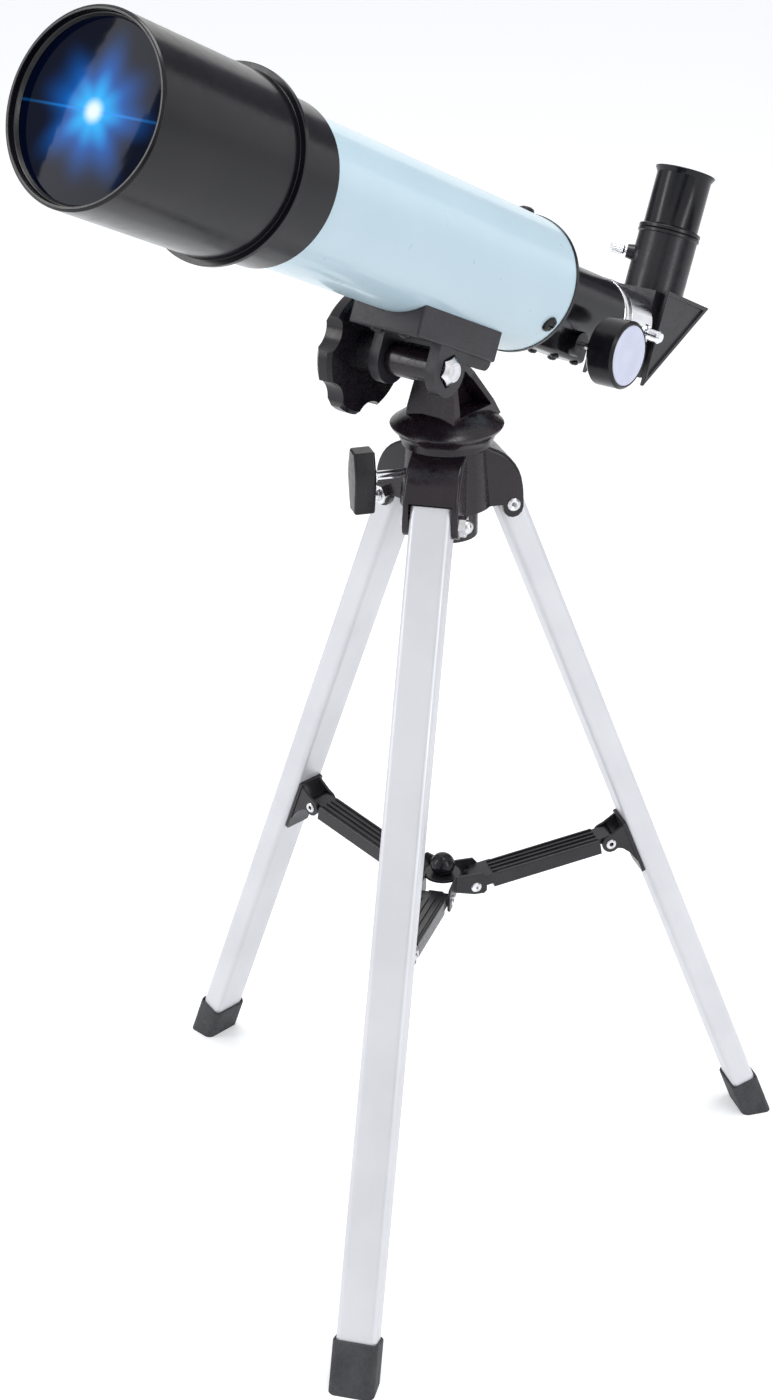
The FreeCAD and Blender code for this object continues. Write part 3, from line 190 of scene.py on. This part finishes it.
gloss = Finish("gloss_black_moulding", roughness=0.2, specular_ior_level=0.3)
gloss.set("Base Color", gloss.noise(30 * MM).ramp(0.3, 0.7).blend((0.004, 0.004, 0.006), (0.008, 0.007, 0.010)))
gloss.set("Roughness", gloss.noise(5 * MM, 4.0).ramp(0.25, 0.8, 0.17, 0.25))
gloss.bump(gloss.noise(7 * MM, 1.0, (1.0, 0.12, 0.2)), 0.008 * MM)
gloss.coat("dew_shield", "focuser_body", "eyepiece_body")

ring_black = Finish("black_anodised_ring", base_color=(0.012, 0.012, 0.014), roughness=0.35)
ring_black.set("Roughness", ring_black.noise(1.5 * MM).ramp(0.2, 0.8, 0.28, 0.42))
ring_black.coat("lens_retaining_ring")

# ---------------------------------------------------------------- objective
# Two polished lenses, 60 mm clear, almost flush with the mouth of the shield. Their coating gives back a deep blue.
# A painted reflection of a lamp, with one bright star and a fine slanting streak, glows from the front lens though
# no lamp is there.
lens_front = on_tube(230.7)
STAR_SIDE = 2.1 * MM
STAR_RISE = -0.1 * MM
STREAK_TILT = math.radians(0)
# The emission below is painted light: a white core, a blue star with rays, a blue halo and a streak of reflected
# lamp light, glowing from the glass itself.
lens_with_painted_glare = Finish("coated_lens_painted_glare", base_color=(0.001, 0.002, 0.008), specular_ior_level=0.06, emission_strength=1.0)
side = lens_with_painted_glare.along(across, lens_front) - STAR_SIDE
rise = lens_with_painted_glare.along(upward, lens_front) - STAR_RISE
distance = (side * side + rise * rise).math("SQRT")
turn = rise.math("ARCTAN2", side)
rays = (turn * 8.0 + 1.1).math("COSINE") * 0.10 + (turn * 5.0 - 0.6).math("COSINE") * 0.08 + 1.0
spread = distance.math("DIVIDE", rays)
offset = (rise * math.cos(STREAK_TILT) - side * math.sin(STREAK_TILT)).math("ABSOLUTE")
reach = (side * math.cos(STREAK_TILT) + rise * math.sin(STREAK_TILT)).math("ABSOLUTE")
streak = offset.ramp(0.0, 0.8 * MM, 1.0, 0.0) * reach.ramp(3 * MM, 32 * MM, 0.7, 0.15)
halo = spread.ramp(2 * MM, 29 * MM, 1.0, 0.0).math("POWER", 1.4).blend((0.0, 0.0008, 0.005), (0.0, 0.16, 0.70))
middle = spread.ramp(1 * MM, 14 * MM, 1.0, 0.0).blend(halo, (0.0, 0.50, 1.0))
lit = streak.blend(middle, (0.01, 0.30, 0.95))
core = distance.ramp(1.0 * MM, 5.5 * MM, 1.0, 0.0).blend(lit, (0.85, 1.0, 1.0))
# The painted reflection and flare go into the lens's emission colour.
lens_with_painted_glare.set("Emission Color", core)
lens_with_painted_glare.set("Roughness", lens_with_painted_glare.noise(20 * MM).ramp(0.3, 0.7, 0.03, 0.06))
lens_with_painted_glare.coat("objective_crown")

glass = Finish("clear_glass", base_color=(0.02, 0.03, 0.05), roughness=0.03, transmission_weight=0.6, ior=1.52)
glass.set("Roughness", glass.noise(6 * MM).ramp(0.3, 0.7, 0.02, 0.05))
glass.coat("objective_flint", "diagonal_prism", "eyepiece_eye_lens", "eyepiece_field_lens")

# ---------------------------------------------------------------- rear cell, its screws and its labels
# The black rear cell carries the focuser. Three black cross-head screws hold it in the tube, four more
# close the pinion housing. A plain silver-edged label and a narrow silver band are wrapped on the neck.
black_screw = Finish("blackened_screw", base_color=(0.02, 0.02, 0.022), metallic=0.6, roughness=0.35)
black_screw.set("Roughness", black_screw.noise(0.8 * MM).ramp(0.2, 0.8, 0.25, 0.45))
black_screw.coat("tube_screws", "housing_screws", "saddle_screws")


def wrapped(name, station, height, middle, half_turn, radius, material, body):
    """A thin label on the neck: points at (radius, station, angle) round the tube's axis, with the
    station and the angle each running evenly across the label."""
    count = 48
    stations = np.linspace(-height / 2, height / 2, 3) + station
    angles = np.radians(np.linspace(middle - half_turn, middle + half_turn, count))
    s, a = np.meshgrid(stations, angles, indexing="ij")
    origin = np.array(axis_origin)
    points = (origin + s[..., None] * MM * np.array(forward)
              + radius * MM * (np.sin(a)[..., None] * np.array(across) + np.cos(a)[..., None] * np.array(upward)))
    row = np.arange(count - 1)
    faces = [np.stack([r * count + row, r * count + row + 1, (r + 1) * count + row + 1, (r + 1) * count + row], 1)
             for r in range(2)]
    mesh = bpy.data.meshes.new(name)
    mesh.from_pydata(points.reshape(-1, 3).tolist(), [], np.concatenate(faces).tolist())
    mesh.polygons.foreach_set("use_smooth", np.ones(len(mesh.polygons), bool))
    mesh.materials.append(material)
    piece = bpy.data.objects.new(name, mesh)
    bpy.context.scene.collection.objects.link(piece)
    thick = piece.modifiers.new("foil", "SOLIDIFY")
    thick.thickness = 0.12 * MM
    thick.offset = 0
    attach(piece, body)
    return piece


foil = Finish("silver_foil", metallic=1.0, base_color=(0.80, 0.81, 0.83), roughness=0.22)
foil.set("Roughness", foil.noise(3 * MM).ramp(0.3, 0.7, 0.18, 0.28))
panel = Finish("grey_label_panel", base_color=(0.10, 0.105, 0.12), roughness=0.25, coat_weight=0.6)
panel.set("Roughness", panel.noise(4 * MM).ramp(0.3, 0.7, 0.2, 0.3))
LABEL_MIDDLE = 38
wrapped("label_edge", -68.5, 19.5, LABEL_MIDDLE, 36, 17.12, foil.material, "telescope")
wrapped("label_panel", -68.5, 16.5, LABEL_MIDDLE, 31, 17.24, panel.material, "telescope")
wrapped("neck_band", -128.5, 6.4, LABEL_MIDDLE, 62, 17.12, foil.material, "telescope")

# ---------------------------------------------------------------- drawtube, shaft and small bright screws
# The drawtube and its collar are chromium plated brass, turned and polished, so fine rings run round
# them. The thumbscrews and the stem of the pan lock are plated the same way.
chrome = Finish("bright_chrome", metallic=1.0, base_color=(0.82, 0.83, 0.86), roughness=0.1)
chrome.set("Base Color", chrome.noise(12 * MM).ramp(0.3, 0.7).blend((0.74, 0.75, 0.79), (0.86, 0.87, 0.9)))
chrome.set("Roughness", chrome.noise(2 * MM, 4.0).ramp(0.3, 0.8, 0.07, 0.16))
chrome.bump((chrome.along(forward) * (2 * math.pi / (0.5 * MM))).math("SINE"), 0.004 * MM)
chrome.coat("drawtube", "drawtube_thumbscrew", "eyepiece_thumbscrew", "pan_lock_stem")

steel = Finish("bright_steel", metallic=1.0, base_color=(0.66, 0.66, 0.68), roughness=0.25)
steel.set("Base Color", steel.noise(3 * MM).ramp(0.3, 0.7).blend((0.60, 0.60, 0.62), (0.74, 0.74, 0.76)))
steel.set("Roughness", steel.noise(0.8 * MM, 4.0).ramp(0.3, 0.8, 0.18, 0.34))
steel.coat("pinion_shaft", "tilt_bolt", "hinge_bolt_a", "hinge_bolt_b", "hinge_bolt_c", "bracket_rivet_a",
           "bracket_rivet_b", "bracket_rivet_c", "hub_rivets", "pan_retaining_screw", soft=False)

# ---------------------------------------------------------------- focus knob
# A smooth black moulded wheel on the near end of the pinion shaft, closed by a pale lavender cap.
wheel = Finish("black_knob", roughness=0.22, specular_ior_level=0.3)
wheel.set("Base Color", wheel.noise(10 * MM).ramp(0.3, 0.7).blend((0.005, 0.005, 0.007), (0.009, 0.008, 0.011)))
wheel.set("Roughness", wheel.noise(3 * MM, 3.0).ramp(0.25, 0.8, 0.2, 0.28))
wheel.bump(wheel.noise(2 * MM), 0.003 * MM)
wheel.coat("focus_knob", "hub_ball")

pale = Finish("pale_cap", roughness=0.35)
pale.set("Base Color", pale.noise(9 * MM).ramp(0.3, 0.7).blend((0.62, 0.64, 0.80), (0.68, 0.70, 0.85)))
pale.set("Roughness", pale.noise(2 * MM).ramp(0.3, 0.7, 0.3, 0.42))
pale.coat("focus_knob_cap")

# ---------------------------------------------------------------- star diagonal
# A folded sheet elbow in satin grey-black enamel. Each side is a triangular plate with a raised rim, and
# the prism sits behind them. The eyepiece stands in the round holder on top.
satin = Finish("satin_black_enamel", roughness=0.3, specular_ior_level=0.35)
satin.set("Base Color", satin.noise(14 * MM).ramp(0.3, 0.7).blend((0.009, 0.008, 0.011), (0.016, 0.014, 0.018)))
satin.set("Roughness", satin.noise(3 * MM, 3.0).ramp(0.25, 0.8, 0.26, 0.36))
satin.bump(satin.noise(1.2 * MM), 0.004 * MM)
satin.coat("diagonal_body", "diagonal_cover_left", "diagonal_cover_right")

# ---------------------------------------------------------------- saddle and tilt clamp
# The saddle is a dark grey moulding with two ears. The hand nut on its far side is cut with six scallops.
moulded = Finish("fine_grained_black", roughness=0.4, specular_ior_level=0.4)
moulded.set("Base Color", moulded.noise(16 * MM).ramp(0.3, 0.7).blend((0.014, 0.012, 0.016), (0.022, 0.019, 0.025)))
moulded.set("Roughness", moulded.noise(1.0 * MM, 4.0).ramp(0.25, 0.8, 0.36, 0.52))
moulded.bump(moulded.noise(0.8 * MM), 0.008 * MM)
moulded.coat("saddle")

grip = Finish("moulded_hand_black", roughness=0.26, specular_ior_level=0.35)
grip.set("Base Color", grip.noise(12 * MM).ramp(0.3, 0.7).blend((0.006, 0.005, 0.007), (0.011, 0.009, 0.012)))
grip.set("Roughness", grip.noise(3 * MM, 3.0).ramp(0.25, 0.8, 0.22, 0.34))
grip.bump(grip.noise(1.5 * MM), 0.004 * MM)
grip.coat("tilt_knob", "pan_lock_grip")

# ---------------------------------------------------------------- pan head and tripod crown
# Both are hard black nylon with a slightly brown-purple cast, glossy where the mould was polished.
nylon = Finish("black_nylon", roughness=0.26, specular_ior_level=0.4)
nylon.set("Base Color", nylon.noise(20 * MM).ramp(0.3, 0.7).blend((0.010, 0.006, 0.009), (0.018, 0.012, 0.016)))
nylon.set("Roughness", nylon.noise(2.5 * MM, 4.0).ramp(0.25, 0.8, 0.2, 0.34))
nylon.bump(nylon.noise(4 * MM, 2.0), 0.012 * MM)
nylon.coat("pan_head", "tripod_crown")

# ---------------------------------------------------------------- legs, shoes and spreader
# The legs are drawn aluminium tube, satin anodised, with the grain of the drawing along each leg. They
# stand in dark rubber shoes and are tied by a black moulded spreader with ribs along its arms.
for letter in "abc":
    low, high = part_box(f"leg_tube_{letter}")
    hinge = next(joint for joint in frame["joints"] if joint["name"] == f"leg_{letter}_fold")
    top = Vector(hinge["pos_m"])
    foot = Vector(mounts[f"foot_{letter}"]["pos_m"])
    lean = (top - foot).to_track_quat("Z", "Y").to_euler()
    drawn = Finish(f"satin_aluminium_{letter}", metallic=0.4, roughness=0.4)
    grain = drawn.noise(0.5 * MM, 2.0, (1.0, 1.0, 60.0), tuple(lean))
    drawn.set("Base Color", drawn.noise(40 * MM).ramp(0.3, 0.7).blend((0.66, 0.66, 0.69), (0.71, 0.71, 0.74)))
    drawn.set("Roughness", grain.ramp(0.3, 0.7, 0.36, 0.46))
    drawn.bump(grain, 0.006 * MM)
    drawn.coat(f"leg_tube_{letter}")

rubber = Finish("dark_rubber", roughness=0.75)
rubber.set("Base Color", rubber.noise(8 * MM).ramp(0.3, 0.7).blend((0.032, 0.032, 0.035), (0.048, 0.048, 0.052)))
rubber.set("Roughness", rubber.noise(1.5 * MM).ramp(0.25, 0.8, 0.62, 0.85))
rubber.bump(rubber.noise(0.7 * MM), 0.03 * MM)
rubber.coat("leg_foot_a", "leg_foot_b", "leg_foot_c")

ribbed = Finish("spreader_black", roughness=0.33, specular_ior_level=0.4)
ribbed.set("Base Color", ribbed.noise(12 * MM).ramp(0.3, 0.7).blend((0.010, 0.009, 0.011), (0.018, 0.016, 0.019)))
ribbed.set("Roughness", ribbed.noise(1.0 * MM, 4.0).ramp(0.25, 0.8, 0.26, 0.42))
ribbed.bump(ribbed.noise(0.6 * MM), 0.012 * MM)
ribbed.coat("spreader_hub", *(f"{kind}_{letter}" for letter in "abc" for kind in ("spreader_arm", "leg_bracket")))

# ---------------------------------------------------------------- floor, lights and camera
# A plain white sweep, a soft box overhead, one at each side and two dark cards that give metal its edges.
FLOOR_HALF = 6.0
floor_mesh = bpy.data.meshes.new("floor")
corners = [(-FLOOR_HALF, -FLOOR_HALF, 0), (FLOOR_HALF, -FLOOR_HALF, 0), (FLOOR_HALF, FLOOR_HALF, 0),
           (-FLOOR_HALF, FLOOR_HALF, 0)]
floor_mesh.from_pydata(corners, [], [(0, 1, 2, 3)])
floor = bpy.data.objects.new("floor", floor_mesh)
bpy.context.scene.collection.objects.link(floor)
white = Finish("white_floor", base_color=(0.86, 0.86, 0.86), roughness=0.8, emission_strength=1.0)
path = white.node("ShaderNodeLightPath")
seen = Field(white, path.outputs["Is Camera Ray"]).math("MAXIMUM", path.outputs["Is Glossy Ray"])
seen = seen.math("MAXIMUM", path.outputs["Is Transmission Ray"])
white.set("Emission Color", seen.blend((0.0, 0.0, 0.0), (0.34, 0.34, 0.34)))
floor_mesh.materials.append(white.material)

world = bpy.data.worlds.new("studio")
bpy.context.scene.world = world
world.use_nodes = True
sky = world.node_tree
sky.nodes.clear()
rays_seen = sky.nodes.new("ShaderNodeLightPath")
either = sky.nodes.new("ShaderNodeMath")
either.operation = "MAXIMUM"
sky.links.new(rays_seen.outputs["Is Camera Ray"], either.inputs[0])
sky.links.new(rays_seen.outputs["Is Transmission Ray"], either.inputs[1])
reflected = sky.nodes.new("ShaderNodeMath")
reflected.operation = "MAXIMUM"
sky.links.new(either.outputs[0], reflected.inputs[0])
sky.links.new(rays_seen.outputs["Is Glossy Ray"], reflected.inputs[1])
fill = sky.nodes.new("ShaderNodeBackground")
fill.inputs[0].default_value = (0.62, 0.64, 0.67, 1)
backdrop = sky.nodes.new("ShaderNodeBackground")
backdrop.inputs[0].default_value = (1, 1, 1, 1)
chosen = sky.nodes.new("ShaderNodeMixShader")
sky.links.new(reflected.outputs[0], chosen.inputs[0])
sky.links.new(fill.outputs[0], chosen.inputs[1])
sky.links.new(backdrop.outputs[0], chosen.inputs[2])
shown = sky.nodes.new("ShaderNodeOutputWorld")
sky.links.new(chosen.outputs[0], shown.inputs[0])

aim = Vector((0.0, 0.0, 0.36))


def soft_box(name, place, width, height, power):
    """A rectangular lamp that faces the object."""
    lamp = bpy.data.lights.new(name, "AREA")
    lamp.shape = "RECTANGLE"
    lamp.size = width
    lamp.size_y = height
    lamp.energy = power
    box = bpy.data.objects.new(name, lamp)
    bpy.context.scene.collection.objects.link(box)
    box.location = place
    box.rotation_euler = (Vector(place) - aim).to_track_quat("Z", "Y").to_euler()


soft_box("overhead", (0.1, 0.1, 2.0), 1.0, 0.6, 16)
soft_box("left_window", (-1.3, -1.5, 1.1), 0.35, 1.5, 11)
soft_box("right_window", (1.9, -0.2, 0.9), 0.3, 1.4, 8)

grey = Finish("grey_card", roughness=0.9)
grey.set("Base Color", grey.noise(0.5).ramp(0.3, 0.7).blend((0.20, 0.20, 0.21), (0.24, 0.24, 0.25)))


def dark_card(name, place, width, height):
    """A dark grey card out of view that is only seen in reflections."""
    mesh = bpy.data.meshes.new(name)
    mesh.from_pydata([(-width / 2, -height / 2, 0), (width / 2, -height / 2, 0), (width / 2, height / 2, 0),
                      (-width / 2, height / 2, 0)], [], [(0, 1, 2, 3)])
    card = bpy.data.objects.new(name, mesh)
    bpy.context.scene.collection.objects.link(card)
    card.location = place
    card.rotation_euler = (Vector(place) - aim).to_track_quat("Z", "Y").to_euler()
    mesh.materials.append(grey.material)
    card.visible_camera = False
    card.visible_diffuse = False
    card.visible_shadow = False
    card.visible_transmission = False


dark_card("front_card", (1.5, -2.0, 0.7), 0.7, 2.6)
dark_card("side_card", (2.4, 1.0, 0.9), 1.2, 2.4)
dark_card("left_card", (-2.4, 0.4, 0.9), 1.6, 2.4)
dark_card("back_card", (0.0, 2.6, 1.2), 1.4, 2.0)

camera = bpy.data.objects.new("camera", bpy.data.cameras.new("camera"))
bpy.context.scene.collection.objects.link(camera)
camera.data.sensor_fit = "VERTICAL"
camera.data.sensor_height = 36
camera.data.lens = 61.64
camera.location = (0.56635, -0.79182, 0.74373)
away = Vector((0.5398, -0.7130, 0.4475))
CAMERA_ROLL = math.radians(-0.133)
turned = away.to_track_quat("Z", "Y").to_matrix().to_4x4() @ Matrix.Rotation(CAMERA_ROLL, 4, "Z")
camera.rotation_euler = turned.to_euler()
bpy.context.scene.camera = camera
bpy.context.scene.view_settings.view_transform = "Standard"
